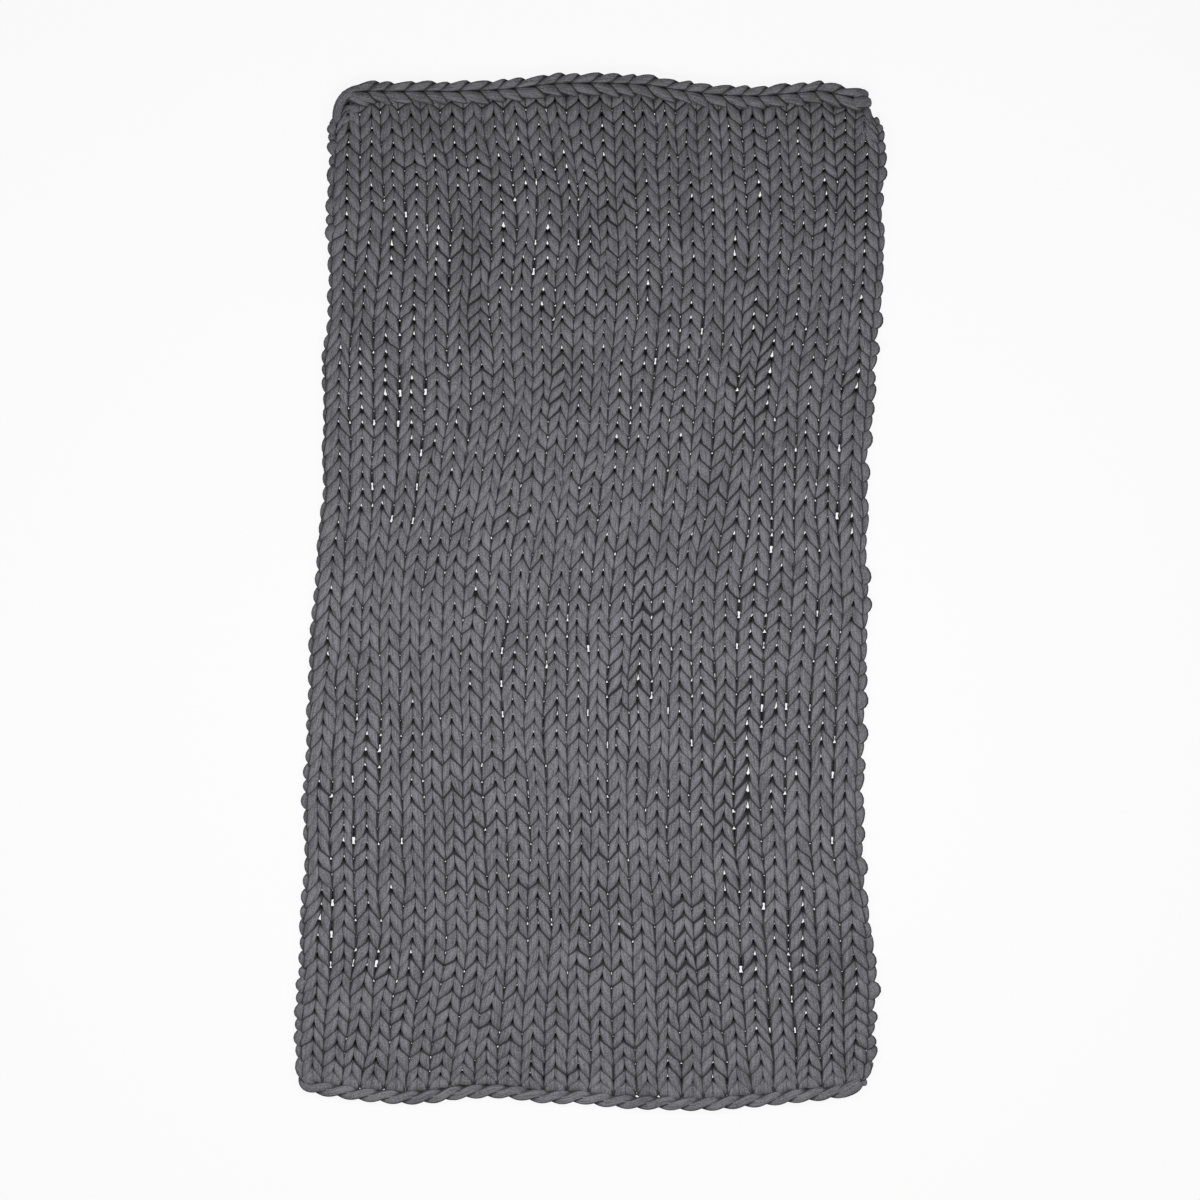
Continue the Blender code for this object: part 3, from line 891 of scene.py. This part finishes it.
def line_points(line, count):
    """Points at even steps along a line, with the direction there."""
    corners = np.array(line, float)
    lengths = np.concatenate([[0.0], np.cumsum(np.linalg.norm(np.diff(corners, axis=0), axis=1))])
    steps = np.linspace(0.0, lengths[-1], count)
    points = np.stack([np.interp(steps, lengths, corners[:, k]) for k in (0, 1)], axis=1)
    smooth = np.concatenate([points[:1], (points[:-2] + 2 * points[1:-1] + points[2:]) / 4, points[-1:]])
    runs = np.gradient(smooth, axis=0)
    return smooth, runs / np.linalg.norm(runs, axis=1)[:, None]


def cast_on_rope(material):
    """The cast-on edge: two strands twisted together along the bottom edge."""
    bm = new_yarn()
    steps = ROPE_TURNS * TURN_STEPS
    middle, runs = line_points(ROPE_MIDDLE, steps + 1)
    for start in (0.0, math.pi):
        path = []
        for k in range(steps + 1):
            turn = 2 * math.pi * k / TURN_STEPS + start
            near_end = max(0.0, 1.0 - min(k, steps - k) / TAPER_STEPS)
            thick = ROPE_STRAND * (1.0 - ROPE_TAPER * near_end ** 2)
            aside = ROPE_RADIUS * math.sin(turn)
            x, y = middle[k] + aside * np.array((-runs[k][1], runs[k][0]))
            place = Vector((x, y, ROPE_HEIGHT + ROPE_RADIUS * math.cos(turn)))
            # Painted shade, none on the strand's top and most on its underside.
            path.append((place, thick, thick, 0.0, None, ROPE_SHADE * (1.0 - math.cos(turn))))
        sweep(bm, path, closed_start=True, closed_end=True)
    rope = mesh_of("cast_on_rope", bm)
    put_in_metres(rope)
    finish_yarn(rope, material)


# The yarn's turns at the corners, each a list of x, y, height, half width, half depth.
TOP_LEFT_TURN = (
    (-446, 820, 12, 6, 6), (-446, 838, 18, 9, 7), (-443, 856, 19, 9.5, 7.5), (-436, 871, 20, 9.5, 8),
    (-424, 882, 21, 9.5, 8), (-406, 889, 20, 9, 7.5), (-388, 892, 13, 6, 6),
)
TOP_LEFT_LEAF = (
    (-432, 880, 14, 6, 6), (-420, 876, 23, 10, 7), (-404, 869, 24, 11.5, 7.5), (-384, 861, 16, 8, 7),
)
TOP_LEFT_KNOT = (
    (-434, 851, 13, 6, 5), (-426, 852, 22, 9, 7), (-412, 853, 22, 9.5, 7), (-402, 855, 13, 7, 5),
)
TOP_LEFT_ARCH = (
    (-437, 815, 13, 6, 5), (-434, 832, 21, 8, 7), (-424, 840, 23, 8, 7), (-414, 828, 16, 6, 6),
)
KNOB_UPPER = (
    (466, 875, 15, 7, 6), (474, 880, 22, 9.5, 7.5), (486, 881, 21, 9.5, 7.5), (494, 876, 12, 4, 4),
)
KNOB_LOWER = (
    (464, 861, 15, 8, 6), (474, 864, 24, 11.5, 8), (489, 865, 23, 12.5, 8.5), (500, 864, 12, 5, 4.5),
)
KNOB_NECK = (
    (488, 862, 12, 7, 5), (492, 842, 19, 10, 7), (492, 824, 20, 9, 7), (490, 810, 13, 6, 5),
)
KNOB_TAIL = (
    (480, 826, 13, 6, 5), (487, 815, 23, 10, 7), (497, 801, 23, 10.5, 7), (505, 789, 14, 7, 6),
)
ROPE_END = (
    (438, -889, 12, 7, 7), (448, -884, 19, 11, 8), (462, -876, 20, 13.5, 8.5), (474, -870, 19, 12.5, 8),
    (483, -865, 11, 5, 4.5),
)
ROPE_STUB = (
    (482, -860, 10, 5.5, 5), (487, -866, 14, 7, 6), (486, -875, 11, 5.5, 5),
)
LOW_RIGHT_TURN = (
    (470, -860, 14, 6, 6), (482, -852, 19, 8, 7), (493, -841, 18, 8, 7), (501, -829, 12, 6, 5),
)
TOP_LEFT_BACK = (
    (-432, 792, 7, 7, 5), (-431, 815, 9, 10, 5.5), (-431, 845, 9, 11, 5.5), (-426, 866, 8, 10, 5.5),
    (-420, 880, 7, 8, 5),
)
# Two strands lie at the back of the chain, one behind its dark line and one at its lower edge.
BACK_LOWER, UNDER_LOWER = 3, 23
CHAIN_BACK = tuple((x, y - BACK_LOWER, 8, 10, 5.5) for x, y in CHAIN_LINE[1:])
CHAIN_UNDER = tuple((x, y - UNDER_LOWER, 7, 10, 5) for x, y in CHAIN_LINE[1:])
CORNER_YARN = (
    TOP_LEFT_BACK, CHAIN_BACK, CHAIN_UNDER, TOP_LEFT_TURN, TOP_LEFT_LEAF, TOP_LEFT_KNOT,
    TOP_LEFT_ARCH, KNOB_UPPER, KNOB_LOWER, KNOB_NECK, KNOB_TAIL, ROPE_END, ROPE_STUB,
    LOW_RIGHT_TURN,
)


def corner_yarn(material):
    """The yarn's turns, knob and blunt ends at the corners, and the strands behind the chain."""
    bm = new_yarn()
    for turn in CORNER_YARN:
        sweep(bm, free_path(turn), closed_start=True, closed_end=True)
    corners = mesh_of("corner_turns", bm)
    put_in_metres(corners)
    finish_yarn(corners, material)


# ---------------------------------------------------------------- floor, light and camera

# In metres. The view is VIEW_WIDTH wide at VIEW_LEVEL, about the height of the yarn's crowns.
VIEW_WIDTH, VIEW_LEVEL = 2.1204, 0.02
CAMERA_X, CAMERA_Y, CAMERA_HEIGHT = 0.0194, -0.0141, 6.0
SENSOR = 36.0      # in mm, as camera makers give it
FLOOR_HALF, FLOOR_GLOW = 12.0, 0.915
SKY_STRENGTH = 0.20
LAMP_PLACE, LAMP_AIM, LAMP_SIZE, LAMP_WATTS = (0.0, -0.26, 1.75), (0.0, -0.26, 0.0), (1.9, 0.8), 30.5


def pale_floor():
    """A plain white floor, lit like a light box so that the gaps show white."""
    bm = bmesh.new()
    bmesh.ops.create_grid(bm, x_segments=1, y_segments=1, size=FLOOR_HALF)
    mesh = bpy.data.meshes.new("floor")
    bm.to_mesh(mesh)
    bm.free()
    floor = bpy.data.objects.new("floor", mesh)
    bpy.context.scene.collection.objects.link(floor)
    material = bpy.data.materials.new("white_floor")
    material.use_nodes = True
    surface = material.node_tree.nodes["Principled BSDF"]
    surface.inputs["Base Color"].default_value = (0.06, 0.06, 0.06, 1.0)
    surface.inputs["Roughness"].default_value = 1.0
    surface.inputs["Emission Color"].default_value = (1.0, 1.0, 1.0, 1.0)
    surface.inputs["Emission Strength"].default_value = FLOOR_GLOW
    mesh.materials.append(material)


def soft_light(name, place, aim, size, watts):
    """One large soft lamp, as wide and long as its size says."""
    lamp = bpy.data.lights.new(name, "AREA")
    lamp.shape = "RECTANGLE"
    lamp.size, lamp.size_y = size
    lamp.energy = watts
    holder = bpy.data.objects.new(name, lamp)
    holder.location = place
    holder.rotation_euler = (Vector(aim) - Vector(place)).to_track_quat("-Z", "Y").to_euler()
    bpy.context.scene.collection.objects.link(holder)


def studio():
    """Soft light from above, in a weak white surround."""
    world = bpy.data.worlds.new("surround")
    bpy.context.scene.world = world
    world.use_nodes = True
    sky = world.node_tree.nodes["Background"]
    sky.inputs["Color"].default_value = (1.0, 1.0, 1.0, 1.0)
    sky.inputs["Strength"].default_value = SKY_STRENGTH
    soft_light("overhead", LAMP_PLACE, LAMP_AIM, LAMP_SIZE, LAMP_WATTS)
    bpy.context.scene.view_settings.view_transform = "Standard"


def camera():
    """Straight above the blanket."""
    lens = bpy.data.cameras.new("camera")
    lens.sensor_width = SENSOR
    lens.lens = SENSOR * (CAMERA_HEIGHT - VIEW_LEVEL) / VIEW_WIDTH
    holder = bpy.data.objects.new("camera", lens)
    holder.location = (CAMERA_X, CAMERA_Y, CAMERA_HEIGHT)
    bpy.context.scene.collection.objects.link(holder)
    bpy.context.scene.camera = holder


camera()
studio()
pale_floor()
yarn = yarn_material()
for band in BANDS:
    knitted_band(yarn, *band)
selvedge("left_selvedge", yarn, (LEFT_KNOT, LEFT_BAR), (FAT_LEFT_KNOT, LEFT_BAR))
selvedge("right_selvedge", yarn, (RIGHT_KNOT, RIGHT_BAR), (RIGHT_KNOT, RIGHT_BAR))
bind_off_chain(yarn)
cast_on_rope(yarn)
corner_yarn(yarn)
